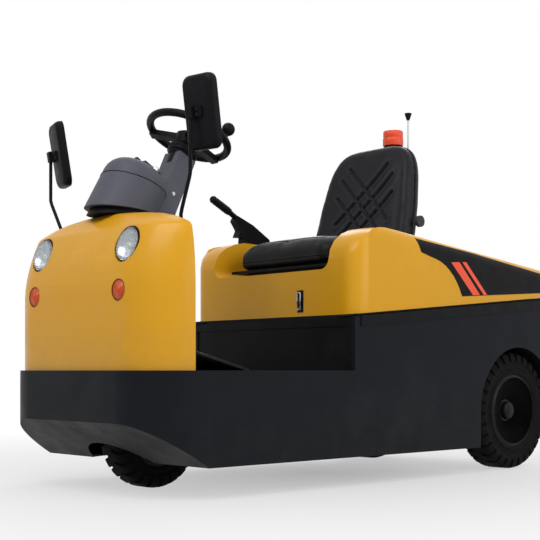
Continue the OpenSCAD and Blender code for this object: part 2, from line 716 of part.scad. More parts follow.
module beacon_lens() color("#f0521e") translate([deck_x - 50, 0, beacon_top - 62]) rotate_extrude()
    polygon([[0, 0], [beacon_d / 2, 0], [beacon_d / 2, 34], [beacon_d / 2 - 4, 36], [beacon_d / 2 - 4, 56],
        [beacon_d / 2 - 10, 62], [0, 62]]);

module marker_rod() color("#c9ccd0") {
    x = deck_x - 146;
    on_deck() translate([x, 0, lid_crown(x) - 10]) {
        cylinder(d = 8, h = rod_top - 10 - lid_crown(x));
        cylinder(d = 30, h = 18);
    }
    translate([x, 0, rod_top - 30]) cylinder(d1 = 8, d2 = 29, h = 30);
}

// Rings of a bent round bar through [y, z] points at one station
function bar_rings(x, path, d, n = 16) = [for (i = [0:len(path) - 1])
    let (a = path[max(i - 1, 0)], b = path[i], c = path[min(i + 1, len(path) - 1)],
        u = i == 0 ? (c - b) / norm(c - b) : (b - a) / norm(b - a),
        v = i == len(path) - 1 ? u : (c - b) / norm(c - b),
        t = (u + v) / norm(u + v), g = d / 2 / (t * u))
    [for (j = [0:n - 1]) let (w = 360 * j / n)
        [x + d / 2 * cos(w), b[0] + g * sin(w) * t[1], b[1] - g * sin(w) * t[0]]]];

// Mirror bar of one side: foot on the dash, bend, upright
module mirror_bar(s, foot, up, head, turn, off) {
    translate([cowl_x - 44, s * foot - 20, 785]) cube([44, 40, 63]);
    e = up - foot;
    scale([1, s, 1]) loft(bar_rings(mirror_x, [[foot, 830], [foot, 878], [foot + 0.1 * e, 894],
        [foot + 0.9 * e, 986], [up, 1002], [up, head + 20]], bar_d));
    translate([mirror_x, s * up, head]) rotate([0, mirror_tip, s * turn]) {
        translate([-bar_d / 2 - 6, -12, -18]) cube([bar_d + 10, 24, 36]);
        translate([-bar_d / 2 - 6, 0, -15]) cube([7, off + 16, 30]);
    }
}

module mirror_bars() color("#17181a") {
    mirror_bar(1, 312, 358, 1184, mirror_turn_left, 22);
    mirror_bar(-1, 362, 437, 1158, mirror_turn_right, 27);
}

// Mirror head frame on its bar: Z forward out of the head's back plane, off beside the bar
module mirror_frame(up, off, z, turn) translate([mirror_x, up, z]) rotate([0, mirror_tip, turn])
    translate([-bar_d / 2 - 6 - mirror_t, off, 0]) rotate([0, 90, 0]) children();

// Mirror shell with its flat back open to the rear
module mirror_shell() {
    b = [mirror_h / 2, -mirror_h / 2, mirror_w / 2, 28, 28];
    difference() {
        loft(concat([level(plan_ring(b), 0)], dome_rings(b, [mirror_t, 0], [14, 18], [14, 18], [14, 18], 5)));
        translate([0, 0, -1]) linear_extrude(5)
            polygon([for (p = plan_ring(b - [6, -6, 6, 6, 6])) [p[0], p[1]]]);
    }
}

module mirror_heads() color("#131416") {
    mirror_frame(358, 22, 1184, mirror_turn_left) mirror_shell();
    mirror_frame(-437, 27, 1158, -mirror_turn_right) mirror_shell();
}

module mirror_pane()
    linear_extrude(4) polygon([for (p = plan_ring([mirror_h / 2, -mirror_h / 2, mirror_w / 2, 28, 28]
        - [6.2, -6.2, 6.2, 6.2, 6.2])) [p[0], p[1]]]);

module mirror_glass() color("#aab4bd") {
    mirror_frame(358, 22, 1184, mirror_turn_left) mirror_pane();
    mirror_frame(-437, 27, 1158, -mirror_turn_right) mirror_pane();
}

bumper();
side_frame_left();
side_frame_right();
nose_plate();
belly_plate();
floor_plate();
toe_board();
pedals();
bulkhead();
lid_pads();
battery();
wheel_houses();
back_plate();
side_strips();
rear_axle();
tow_coupling();
tail_lamps();
hinge_base();
cowl();
dash_panel();
lamp_pockets();
headlamps();
turn_lamps();
pod_base();
instrument_pod();
steering_column();
steer_bearing();
mirror_bars();
mirror_heads();
mirror_glass();
rear_hood();
hinge_leaf();
seat_plate();
seat_cushion();
backrest();
backrest_shell();
brake_lever();
hood_latch();
beacon_pole();
beacon_lens();
marker_rod();
steering_wheel();
fork();
front_tyre();
front_rim();
rear_tyre_left();
rear_rim_left();
rear_tyre_right();
rear_rim_right();
tow_pin();
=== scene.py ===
import math
import bmesh
import bpy
from mathutils import Matrix, Vector
from mathutils.bvhtree import BVHTree


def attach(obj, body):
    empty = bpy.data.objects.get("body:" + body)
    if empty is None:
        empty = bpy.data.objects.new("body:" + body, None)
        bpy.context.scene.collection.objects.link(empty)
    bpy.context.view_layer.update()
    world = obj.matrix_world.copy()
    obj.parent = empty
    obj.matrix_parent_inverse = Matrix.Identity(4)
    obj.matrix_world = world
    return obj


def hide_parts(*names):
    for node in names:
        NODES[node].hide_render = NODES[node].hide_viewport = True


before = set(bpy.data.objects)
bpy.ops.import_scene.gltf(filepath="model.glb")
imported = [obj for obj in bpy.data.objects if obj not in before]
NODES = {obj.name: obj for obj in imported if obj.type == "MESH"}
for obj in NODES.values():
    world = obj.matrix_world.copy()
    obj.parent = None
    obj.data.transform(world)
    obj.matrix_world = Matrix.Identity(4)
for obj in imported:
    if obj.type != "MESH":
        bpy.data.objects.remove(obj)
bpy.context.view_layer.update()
scene = bpy.context.scene

SIDES = ((1, "left"), (-1, "right"))
QUARTER = math.pi / 2

# Wheel centres and radii, and the lamps' distance from the middle, as in the solids; metres
REAR_X = -0.72
REAR_Y = 0.3615
REAR_R = 0.2325
FRONT_X = 0.78
FRONT_R = 0.175
LAMP_Y = 0.24

# Distances under which points are joined, on new pieces and on the solids' meshes
WELD = 1e-6
SOLID_WELD = 1e-5

# Materials by name
MAT = {}


def rgb(r, g, b):
    """sRGB 0-255 as the linear colour that Blender takes."""
    f = [c / 255 for c in (r, g, b)]
    return tuple(c / 12.92 if c <= 0.04045 else ((c + 0.055) / 1.055) ** 2.4 for c in f) + (1.0,)


ROAD_DUST = rgb(122, 112, 98)


class Mat:
    """A Principled material, kept in MAT by name, with helpers for object-space procedural detail."""

    def __init__(self, name, base, rough=0.5, **sockets):
        self.material = MAT[name] = bpy.data.materials.new(name)
        self.material.use_nodes = True
        self.tree = self.material.node_tree
        self.shader = self.tree.nodes["Principled BSDF"]
        self.shader.inputs["Base Color"].default_value = base
        self.shader.inputs["Roughness"].default_value = rough
        for k, v in sockets.items():
            self.shader.inputs[k.replace("_", " ")].default_value = v
        self.base = base
        self.rough = rough
        self.colour = None
        self.normal = None
        self.xyz = self.tree.nodes.new("ShaderNodeTexCoord").outputs["Object"]

    def node(self, kind, ins=(), **props):
        n = self.tree.nodes.new("ShaderNode" + kind)
        for k, v in props.items():
            setattr(n, k, v)
        for k, v in dict(ins).items():
            if isinstance(v, bpy.types.NodeSocket):
                self.tree.links.new(v, n.inputs[k])
            else:
                n.inputs[k].default_value = v
        return n

    def noise(self, scale, detail=3.0, rough=0.55, stretch=None):
        v = self.xyz
        if stretch:
            v = self.node("Mapping", {"Vector": v, "Scale": stretch}).outputs[0]
        ins = {"Vector": v, "Scale": scale, "Detail": detail, "Roughness": rough}
        return self.node("TexNoise", ins).outputs["Fac"]

    def cells(self, scale, feature="F1"):
        ins = {"Vector": self.xyz, "Scale": scale}
        return self.node("TexVoronoi", ins, feature=feature).outputs["Distance"]

    def remap(self, v, a, b, c=0.0, d=1.0):
        ins = {"Value": v, "From Min": a, "From Max": b, "To Min": c, "To Max": d}
        return self.node("MapRange", ins).outputs[0]

    def math(self, op, a, b=0.0):
        return self.node("Math", {0: a, 1: b}, operation=op).outputs[0]

    def axis(self, i):
        return self.node("SeparateXYZ", {0: self.xyz}).outputs[i]

    def tint(self, fac, colour):
        """Lays a colour over the base where fac is high."""
        n = self.node("Mix", {"Factor": fac}, data_type="RGBA")
        if self.colour is None:
            n.inputs[6].default_value = self.base
        else:
            self.tree.links.new(self.colour, n.inputs[6])
        n.inputs[7].default_value = colour
        self.colour = n.outputs[2]
        self.tree.links.new(self.colour, self.shader.inputs["Base Color"])
        return self

    def vary(self, scale, amount, detail=4.0):
        """Soft cloudy change of the base colour, darker and lighter."""
        f = self.noise(scale, detail)
        dark = tuple(c * (1 - amount) for c in self.base[:3]) + (1.0,)
        pale = tuple(min(1, c * (1 + amount) + 0.004) for c in self.base[:3]) + (1.0,)
        self.tint(self.remap(f, 0.38, 0.25), dark)
        return self.tint(self.remap(f, 0.55, 0.75), pale)

    def stain(self, scale, low, high, amount, colour, rough=0.75):
        """Patches of another colour that grow as the noise passes from low to high."""
        return self.tint(self.remap(self.noise(scale, 6, rough), low, high, 0.0, amount), colour)

    def gloss(self, scale, spread, detail=3.0):
        """Uneven roughness around the material's own."""
        least, most = max(0, self.rough - spread), min(1, self.rough + spread)
        f = self.remap(self.noise(scale, detail), 0.3, 0.7, least, most)
        self.tree.links.new(f, self.shader.inputs["Roughness"])
        return self

    def bump(self, height, mm, strength=1.0):
        ins = {"Height": height, "Distance": mm / 1000, "Strength": strength}
        if self.normal is not None:
            ins["Normal"] = self.normal
        self.normal = self.node("Bump", ins).outputs[0]
        self.tree.links.new(self.normal, self.shader.inputs["Normal"])
        return self

    def edges(self, mm, colour, amount):
        """Rubbed edges: where the rounded normal leaves the true one, broken up by noise."""
        r = self.node("Bevel", {"Radius": mm / 1000}, samples=4).outputs[0]
        g = self.node("NewGeometry").outputs["Normal"]
        d = self.node("VectorMath", {0: r, 1: g}, operation="DOT_PRODUCT").outputs["Value"]
        e = self.remap(d, 0.96, 0.8)
        n = self.remap(self.noise(60, 5, 0.7), 0.42, 0.62)
        return self.tint(self.math("MULTIPLY", self.math("MULTIPLY", e, n), amount), colour)

    def dust(self, z0, z1, amount, colour=ROAD_DUST):
        """Dust that thins out upwards between two heights."""
        h = self.remap(self.axis(2), z1, z0, 0.0, amount)
        patchy = self.remap(self.noise(14, 6, 0.7), 0.3, 0.75)
        return self.tint(self.math("MULTIPLY", h, patchy), colour)


def paint(name, base, rough, coat, wear, peel=0.06, **sockets):
    """Sprayed paint: cloudy colour, orange peel, a slight wave in the sheet and rubbed edges."""
    m = Mat(name, base, rough, Coat_Weight=coat, Coat_Roughness=0.16, **sockets)
    m.vary(3.5, 0.07).gloss(9, 0.07)
    m.bump(m.noise(420, 2), peel).bump(m.noise(24, 2), 0.12, 0.5)
    return m.edges(3.0, wear, 0.5)


def plastic(name, base, rough, level, cloud, shine, grain, fine, rub):
    """Moulded plastic: cloudy colour, uneven gloss, cell grain, fine noise and rubbed edges."""
    m = Mat(name, base, rough, Specular_IOR_Level=level)
    m.vary(*cloud).gloss(*shine)
    m.bump(m.cells(grain[0]), grain[1]).bump(m.noise(fine[0], 3), fine[1]).edges(*rub)


def tinted_lens(name, base, rough, cloud):
    m = Mat(name, base, rough, Coat_Weight=0.1, Specular_IOR_Level=0.3)
    return m.vary(40, cloud).gloss(60, 0.05)


def vinyl(name, base):
    m = Mat(name, base, 0.42, Sheen_Weight=0.02, Specular_IOR_Level=0.12)
    m.vary(7, 0.12).gloss(16, 0.08)
    m.bump(m.cells(620, "DISTANCE_TO_EDGE"), 0.22, 0.8).bump(m.noise(45, 4), 0.5, 0.35)


# Paints
yellow = paint("yellow_paint", rgb(222, 160, 24), 0.36, 0.12, rgb(232, 182, 76), Specular_IOR_Level=0.22)
yellow.dust(0.40, 0.56, 0.22)
charcoal = paint("charcoal_paint", rgb(22, 24, 29), 0.46, 0.0, rgb(60, 63, 68), 0.16, Specular_IOR_Level=0.07)
charcoal.stain(55, 0.66, 0.74, 0.22, rgb(62, 64, 68)).dust(0.05, 0.45, 0.10, rgb(84, 79, 72))
black = paint("black_paint", rgb(15, 16, 18), 0.48, 0.0, rgb(56, 58, 62), 0.14, Specular_IOR_Level=0.07)
black.dust(0.05, 0.55, 0.18, rgb(78, 72, 66))

# Plastics, rubber and vinyl
plastic("grey_plastic", rgb(82, 82, 92), 0.55, 0.2, cloud=(6, 0.08), shine=(30, 0.06), grain=(950, 0.10),
        fine=(300, 0.08), rub=(3, rgb(132, 133, 140), 0.45))
plastic("black_plastic", rgb(15, 15, 18), 0.46, 0.08, cloud=(9, 0.14), shine=(26, 0.08), grain=(1200, 0.08),
        fine=(260, 0.06), rub=(2, rgb(70, 72, 76), 0.5))
plastic("shell_plastic", rgb(58, 58, 62), 0.5, 0.15, cloud=(9, 0.1), shine=(26, 0.08), grain=(1000, 0.1),
        fine=(260, 0.06), rub=(2, rgb(96, 97, 100), 0.5))
rubber = Mat("black_rubber", rgb(20, 20, 22), 0.72, Specular_IOR_Level=0.1)
rubber.vary(12, 0.2).gloss(40, 0.1)
rubber.bump(rubber.noise(700, 4), 0.12).dust(0.30, 0.60, 0.25)
vinyl("black_vinyl", rgb(29, 29, 33))
# Seat vinyl: the backrest's vinyl made darker, painted shade on the seat cushion and its piping
vinyl("seat_vinyl_painted_shade", rgb(15, 14, 15))

# Wheels
tyre = Mat("tyre_rubber", rgb(19, 19, 20), 0.82, Specular_IOR_Level=0.08)
tyre.vary(10, 0.2).gloss(50, 0.08).stain(38, 0.54, 0.80, 0.35, rgb(64, 60, 55))
tyre.bump(tyre.noise(520, 4), 0.2).bump(tyre.noise(60, 4), 0.4, 0.4)
rim = paint("rim_paint", rgb(22, 23, 25), 0.38, 0.02, rgb(96, 96, 96), 0.1, Specular_IOR_Level=0.1)
rim.stain(30, 0.58, 0.8, 0.3, rgb(70, 66, 60))

# Bright metal and the pale rod
steel = Mat("bright_steel", rgb(176, 178, 182), 0.30, Metallic=1.0)
steel.vary(20, 0.12).gloss(45, 0.12)
steel.bump(steel.noise(160, 4, 0.6, (1, 1, 14)), 0.05).edges(1.5, rgb(225, 225, 225), 0.5)
pale_rod = Mat("white_rod", rgb(222, 222, 216), 0.35)
pale_rod.vary(30, 0.06).gloss(60, 0.06)
pale_rod.bump(pale_rod.noise(300, 3), 0.05)

# Glass, with flutes across the lens, and coloured lenses
glass = Mat("clear_glass", rgb(244, 247, 249), 0.05, Transmission_Weight=1.0, IOR=1.25)
glass.gloss(30, 0.03)
glass.bump(glass.remap(glass.math("SINE", glass.math("MULTIPLY", glass.axis(1), 900)), -1, 1), 0.5, 0.6)
orange = tinted_lens("orange_lens", rgb(236, 72, 18), 0.16, 0.1)
orange.bump(orange.noise(90, 2), 0.3, 0.4)
for key, base, rough, cloud in (("amber_lens", rgb(206, 80, 20), 0.2, 0.2),
                                ("red_lens", rgb(172, 24, 22), 0.16, 0.15)):
    coloured = tinted_lens(key, base, rough, cloud)
    coloured.bump(coloured.cells(240), 0.8, 0.5)

# Display, lamp bowl, stripes and mirror
screen = Mat("screen", rgb(22, 30, 29), 0.10, Coat_Weight=0.6)
screen.vary(40, 0.2).gloss(30, 0.04)
screen.bump(screen.noise(200, 2), 0.02)
bowl = Mat("reflector", rgb(172, 176, 180), 0.28, Metallic=1.0)
bowl.vary(60, 0.08).gloss(80, 0.06)
bowl.bump(bowl.noise(300, 3), 0.05)
paint("orange_paint", rgb(244, 74, 26), 0.40, 0.2, rgb(250, 120, 70), 0.05)
silver = Mat("mirror_silver", rgb(214, 220, 224), 0.03, Metallic=1.0)
silver.stain(18, 0.6, 0.8, 0.15, rgb(160, 160, 160), 0.7).gloss(14, 0.025)

for ob in NODES.values():
    ob.data.materials[0] = MAT[ob.data.materials[0].name.split(".")[0]]
# The hood latch plate is given dark paint over its steel: painted shade of the slot it sits in
NODES["hood_latch"].data.materials[0] = MAT["rim_paint"]
NODES["backrest_shell"].data.materials[0] = MAT["shell_plastic"]


def soften(nodes, angle):
    """Shades lofted solids smooth but for edges over the angle, without touching their meshes."""
    group = bpy.data.node_groups.new("soften", "GeometryNodeTree")
    for way in ("INPUT", "OUTPUT"):
        group.interface.new_socket("Geometry", in_out=way, socket_type="NodeSocketGeometry")
    kinds = ("NodeGroupInput", "GeometryNodeRemoveAttribute", "GeometryNodeMergeByDistance",
             "GeometryNodeSetShadeSmooth", "GeometryNodeSetShadeSmooth", "NodeGroupOutput")
    chain = [group.nodes.new(kind) for kind in kinds]
    bare, weld, edge = chain[1], chain[2], chain[4]
    bare.inputs["Name"].default_value = "custom_normal"
    weld.inputs["Distance"].default_value = SOLID_WELD
    edge.domain = "EDGE"
    edge.inputs["Shade Smooth"].default_value = False
    bend = group.nodes.new("GeometryNodeInputMeshEdgeAngle")
    sharp = group.nodes.new("FunctionNodeCompare")
    sharp.inputs[1].default_value = math.radians(angle)
    group.links.new(bend.outputs[0], sharp.inputs[0])
    group.links.new(sharp.outputs[0], edge.inputs["Selection"])
    for a, b in zip(chain, chain[1:]):
        group.links.new(a.outputs[0], b.inputs[0])
    for n in nodes:
        NODES[n].modifiers.new("soften", "NODES").node_group = group


soften(("rear_hood", "cowl", "lamp_pockets", "mirror_heads", "mirror_bars", "backrest_shell"), 38)


def piece(name, bm, mat, body, slot=None, angle=35):
    """Turns a bmesh in the row frame into a piece on a body, smooth but for its sharp edges."""
    bmesh.ops.recalc_face_normals(bm, faces=bm.faces)
    me = bpy.data.meshes.new(name)
    for e in bm.edges:
        e.smooth = len(e.link_faces) == 2 and e.calc_face_angle(0) < math.radians(angle)
    for q in bm.faces:
        q.smooth = True
    bm.to_mesh(me)
    bm.free()
    me.materials.append(MAT[mat])
    ob = bpy.data.objects.new(name, me)
    scene.collection.objects.link(ob)
    slot = slot or mat
    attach(ob, body)
    return ob


def at(x, y, z, ry=0.0, rz=0.0, rx=0.0):
    """Frame at a place, turned about X, then Y, then Z."""
    return (Matrix.Translation((x, y, z)) @ Matrix.Rotation(rz, 4, "Z") @ Matrix.Rotation(ry, 4, "Y")
            @ Matrix.Rotation(rx, 4, "X"))


def facing(way):
    """Turn that points the Z axis along a direction."""
    return way.to_track_quat("Z", "Y").to_matrix().to_4x4()


def surface(mesh):
    """Tree of a mesh's faces, for rays that find its surface."""
    bm = bmesh.new()
    bm.from_mesh(mesh)
    tree = BVHTree.FromBMesh(bm)
    bm.free()
    return tree


def skin(rows, caps=True):
    """Bmesh over closed rows of points of equal count."""
    bm = bmesh.new()
    vs = [[bm.verts.new(q) for q in row] for row in rows]
    n = len(rows[0])
    for a, b in zip(vs, vs[1:]):
        for i in range(n):
            j = (i + 1) % n
            bm.faces.new((a[i], a[j], b[j], b[i]))
    if caps:
        bm.faces.new(vs[0][::-1])
        bm.faces.new(vs[-1])
    return bm


def tube(path, radius, n=12, closed=False):
    """Bmesh of a round cord along a path of points."""
    rows, m = [], len(path)
    up = Vector((0, 0, 1))
    for i, p in enumerate(path):
        a = Vector(path[i - 1] if closed or i else path[0])
        b = Vector(path[(i + 1) % m] if closed else path[min(i + 1, m - 1)])
        t = (b - a).normalized()
        s = t.cross(up)
        s = s.normalized() if s.length > 1e-4 else Vector((1, 0, 0))
        w = s.cross(t)
        rows.append([Vector(p) + radius * (math.cos(k) * s + math.sin(k) * w)
                     for k in (2 * math.pi * j / n for j in range(n))])
    bm = skin(rows + [rows[0]] if closed else rows, not closed)
    bmesh.ops.remove_doubles(bm, verts=bm.verts, dist=WELD)
    return bm


def block(name, lo, hi, bevel, mat, body, place=Matrix(), slot=None):
    """Box with rounded edges between two corners of a frame."""
    bm = bmesh.new()
    bmesh.ops.create_cube(bm, size=1)
    for v in bm.verts:
        v.co = Vector([(a + b) / 2 + c * (b - a) for a, b, c in zip(lo, hi, v.co)])
    bmesh.ops.bevel(bm, geom=bm.edges[:], offset=bevel, segments=3, profile=0.6, affect="EDGES")
    bmesh.ops.transform(bm, matrix=place, verts=bm.verts)
    return piece(name, bm, mat, body, slot, angle=40)


def turned(name, profile, n, place, mat, body, slot=None, flute=0.0, flutes=0, ring=False):
    """Profile of (radius, along) turned about a frame's Z axis, capped or a ring, fluted off the axis."""
    rows = []
    for r, along in profile:
        deep = flute if r > 0.004 else 0
        row = []
        for k in range(n):
            t = 2 * math.pi * k / n
            wide = r + deep * math.cos(flutes * t)
            row.append(place @ Vector((wide * math.cos(t), wide * math.sin(t), along)))
        rows.append(row)
    bm = skin(rows + rows[:1] if ring else rows, not ring)
    bmesh.ops.remove_doubles(bm, verts=bm.verts, dist=WELD)
    return piece(name, bm, mat, body, slot, angle=30)


def prism(place, corners, levels):
    """Bmesh of a regular prism about a frame's Z axis, through levels of (radius, height)."""
    turns = [2 * math.pi * k / corners for k in range(corners)]
    return skin([[place @ Vector((r * math.cos(t), r * math.sin(t), z)) for t in turns] for r, z in levels])


def bolt(name, place, d, body, mat="bright_steel"):
    """Hex bolt head on a washer, standing along the frame's Z axis."""
    bm = prism(place, 24, [(d * 0.95, -0.001), (d * 0.95, d * 0.14)])
    head = prism(place, 6, [(d * 0.78, d * 0.13), (d * 0.78, d * 0.6), (d * 0.66, d * 0.68)])
    me = bpy.data.meshes.new("bolt_head")
    head.to_mesh(me)
    head.free()
    bm.from_mesh(me)
    bpy.data.meshes.remove(me)
    return piece(name, bm, mat, body, angle=25)


def ribbed(name, mat, body, x0, x1, half, z, base, rise, pitch, place=Matrix()):
    """Sheet with rounded cross ribs, lying at height z of a frame, as wide to both sides."""
    rib = ((0.0, 0), (0.30, 0), (0.38, 0.8), (0.46, 1), (0.84, 1), (0.92, 0.8))
    n = int((x1 - x0) / pitch)
    w = (x1 - x0) / n
    top = []
    for i in range(n):
        a = x0 + (x1 - x0) * i / n
        top += [(a + w * f, z + base + rise * h) for f, h in rib]
    ring = [(x0, z)] + top + [(x1, z + base), (x1, z)]
    bm = skin([[place @ Vector((a, y, b)) for a, b in ring] for y in (-half, half)])
    return piece(name, bm, mat, body, angle=50)


def bell(v, width, power=2):
    return math.exp(-(v / width) ** power)


def segment_distance(p, a, b):
    ab, ap = (b[0] - a[0], b[1] - a[1]), (p[0] - a[0], p[1] - a[1])
    k = max(0, min(1, (ap[0] * ab[0] + ap[1] * ab[1]) / (ab[0] ** 2 + ab[1] ** 2)))
    return math.hypot(ap[0] - k * ab[0], ap[1] - k * ab[1])


def puffed(node, name, inset, voxel=0.007, pressure=4, frames=20):
    """A stuffed copy of a soft node: shrunk, remeshed and blown up again by cloth pressure."""
    bm = bmesh.new()
    bm.from_mesh(NODES[node].data)
    bmesh.ops.remove_doubles(bm, verts=bm.verts, dist=SOLID_WELD)
    bm.normal_update()
    for v in bm.verts:
        v.co -= v.normal * inset
    me = bpy.data.meshes.new(name)
    bm.to_mesh(me)
    bm.free()
    ob = bpy.data.objects.new(name, me)
    scene.collection.objects.link(ob)
    bpy.context.view_layer.objects.active = ob
    mod = ob.modifiers.new("remesh", "REMESH")
    mod.mode = "VOXEL"
    mod.voxel_size = voxel
    bpy.ops.object.modifier_apply(modifier="remesh")
    start = [v.co.copy() for v in me.vertices]
    mod = ob.modifiers.new("cloth", "CLOTH")
    mod.settings.use_pressure = True
    mod.settings.uniform_pressure_force = pressure
    mod.settings.effector_weights.gravity = 0
    for k in range(1, frames + 1):
        scene.frame_set(k)
    ev = ob.evaluated_get(bpy.context.evaluated_depsgraph_get())
    moved = [v.co.copy() for v in ev.data.vertices]
    ob.modifiers.remove(mod)
    scene.frame_set(1)
    for v, p, q in zip(me.vertices, start, moved):
        d = q - p
        v.co = p + d * min(1, inset / max(d.length, 1e-9))
    bm = bmesh.new()
    bm.from_mesh(me)
    bmesh.ops.smooth_vert(bm, verts=bm.verts, factor=0.5, use_axis_x=True, use_axis_y=True, use_axis_z=True)
    bmesh.ops.subdivide_edges(bm, edges=bm.edges, cuts=1, use_grid_fill=True, smooth=0.6)
    bm.normal_update()
    bpy.data.objects.remove(ob)
    bpy.data.meshes.remove(me)
    return bm


# Backrest: dished, with bolsters and crossed quilting grooves; y across and z up the reclined back
BACK = at(-0.222, 0, 0.808, ry=math.radians(-13))
UNBACK = BACK.inverted()
BACK_HALF = 0.262
BACK_HEIGHT = 0.514
BACK_TAPER = 0.2366
FACE_FROM = -0.030
FACE_DEPTH = 0.022
GROOVE_DEPTH = 0.0095
GROOVE_HALF = 0.0060
GROOVES = [((s * a, b), (s * c, d)) for s in (1, -1) for a, b, c, d in (
    (-0.100, 0.418, 0.140, 0.185), (-0.134, 0.372, 0.104, 0.138), (-0.146, 0.296, 0.004, 0.150))]

bm = puffed("backrest", "back_form", 0.006)
for v in bm.verts:
    q = UNBACK @ v.co
    if q.x < FACE_FROM:
        continue
    front = max(0, min(1, (q.x - FACE_FROM) / FACE_DEPTH))
    side = abs(q.y) / (BACK_HALF * (1 - BACK_TAPER * (max(q.z, 0) / BACK_HEIGHT) ** 2.2))
    dish = 0.010 * bell(side, 0.62, 4) * bell(q.z - 0.27, 0.19, 4)
    dish -= 0.009 * bell(side - 0.84, 0.13) * bell(q.z - 0.23, 0.19, 4)
    cut = 0
    for a, b in GROOVES:
        e = segment_distance((q.y, q.z), a, b)
        cut = max(cut, GROOVE_DEPTH * bell(e, GROOVE_HALF))
        dish -= 0.0022 * bell(e - 0.014, 0.008)
    v.co -= BACK.to_3x3() @ Vector((1, 0, 0)) * front * (dish + cut)
back = piece("backrest_pad", bm, "black_vinyl", "rear_hood_lid", "black_vinyl", angle=75)
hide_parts("backrest")

# Seat cushion: crowned, with a seam along both sides and the front; its vinyl is darkened as painted shade
SEAT_TOP = 0.80
SEAM_DEPTH = 0.004
SEAM_HALF = 0.0035
SEAM_Y = 0.185
SEAM_FRONT = 0.130
SEAM_REAR = -0.2

bm = puffed("seat_cushion", "seat_form", 0.008)
for v in bm.verts:
    if v.co.z < SEAT_TOP:
        continue
    up = min(1, (v.co.z - SEAT_TOP) / 0.03)
    crown = 0.010 * bell(v.co.y, 0.19, 4) * bell(v.co.x + 0.02, 0.17, 4)
    seam = SEAM_DEPTH * bell(abs(v.co.y) - SEAM_Y, SEAM_HALF) * (SEAM_REAR < v.co.x < SEAM_FRONT)
    seam += SEAM_DEPTH * bell(v.co.x - SEAM_FRONT, SEAM_HALF) * (abs(v.co.y) < SEAM_Y)
    v.co.z += up * (crown - seam)
seat = piece("seat_pad", bm, "seat_vinyl_painted_shade", "rear_hood_lid", "black_vinyl", angle=75)
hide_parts("seat_cushion")

# Dark panel and slanted stripes on the hood's sides, laid on its surface
HOOD = surface(NODES["rear_hood"].data)
OUTSIDE = 0.8
FLAG = [(-0.088, 0.872), (-0.431, 0.843), (-0.920, 0.786), (-0.950, 0.772), (-0.950, 0.716),
        (-0.900, 0.711), (-0.356, 0.673), (-0.341, 0.700), (-0.326, 0.722), (-0.306, 0.745),
        (-0.283, 0.765), (-0.258, 0.782), (-0.230, 0.795), (-0.195, 0.805), (-0.160, 0.812), (-0.114, 0.823)]
BARS = [[(-0.289, 0.797), (-0.338, 0.801), (-0.467, 0.683), (-0.423, 0.680)],
        [(-0.356, 0.802), (-0.379, 0.804), (-0.512, 0.686), (-0.490, 0.684)]]


def film(name, poly, side, lift, mat, slot):
    """Thin film cut to a polygon in x and z, moulded to the hood's side by rays from outside."""
    bm = bmesh.new()
    bm.faces.new([bm.verts.new((x, 0, z)) for x, z in poly])
    x0, x1 = min(q[0] for q in poly), max(q[0] for q in poly)
    z0, z1 = min(q[1] for q in poly), max(q[1] for q in poly)
    for a, b, no, step in ((x0, x1, (1, 0, 0), 0.02), (z0, z1, (0, 0, 1), 0.005)):
        for i in range(1, int((b - a) / step) + 1):
            v = a + i * step
            bmesh.ops.bisect_plane(bm, geom=bm.verts[:] + bm.edges[:] + bm.faces[:], dist=1e-7,
                                   plane_co=(v, 0, 0) if no[0] else (0, 0, v), plane_no=no)
    for v in bm.verts:
        hit, no = HOOD.ray_cast(Vector((v.co.x, side * OUTSIDE, v.co.z)), Vector((0, -side, 0)))[:2]
        v.co = hit + lift * (no if no.y * side > 0 else -no)
    got = bmesh.ops.extrude_face_region(bm, geom=bm.faces[:])
    for v in [g for g in got["geom"] if isinstance(g, bmesh.types.BMVert)]:
        v.co.y -= side * lift * 0.9
    piece(name, bm, mat, "rear_hood_lid", slot, angle=20)


for side, tag in SIDES:
    film("side_panel_" + tag, FLAG, side, 0.0009, "black_plastic", "black_plastic")
    for i, bar in enumerate(BARS):
        film("side_stripe_%d_%s" % (i + 1, tag), bar, side, 0.0015, "orange_paint", "orange_lens")

# Lugged tyres inside the CAD tyre's outline: stations of one lug and its groove as shares of the pitch
LUG_CUTS = (0.0, 0.03, 0.25, 0.46, 0.61, 0.64, 0.68, 0.80, 0.93, 0.97)
GROOVE_FROM = 0.64
GROOVE_TO = 0.965
LUG_SWEEP = 0.35


def tyre_half(r, half, bore):
    """One half of a tyre's section from bead to crown, as (radius, half width, groove depth)."""
    return [(bore, half - 0.006, 0), (bore + 0.006, half - 0.002, 0), (bore + 0.011, half, 0),
            (bore + 0.015, half, 0), (bore + 0.018, half - 0.004, 0), (bore + 0.024, half - 0.0045, 0),
            (bore + 0.027, half - 0.003, 0), (bore + 0.030, half - 0.0045, 0), (r - 0.042, half - 0.003, 0),
            (r - 0.038, half, 0), (r - 0.034, half, 0.006), (r - 0.024, half - 0.0022, 0.009),
            (r - 0.014, half - 0.005, 0.011), (r - 0.007, half - 0.009, 0.012),
            (r - 0.003, half - 0.014, 0.012), (r - 0.0005, half - 0.022, 0.012), (r, half * 0.5, 0.011),
            (r, half * 0.26, 0.010), (r, half * 0.22, 0), (r, 0.0005, 0)]


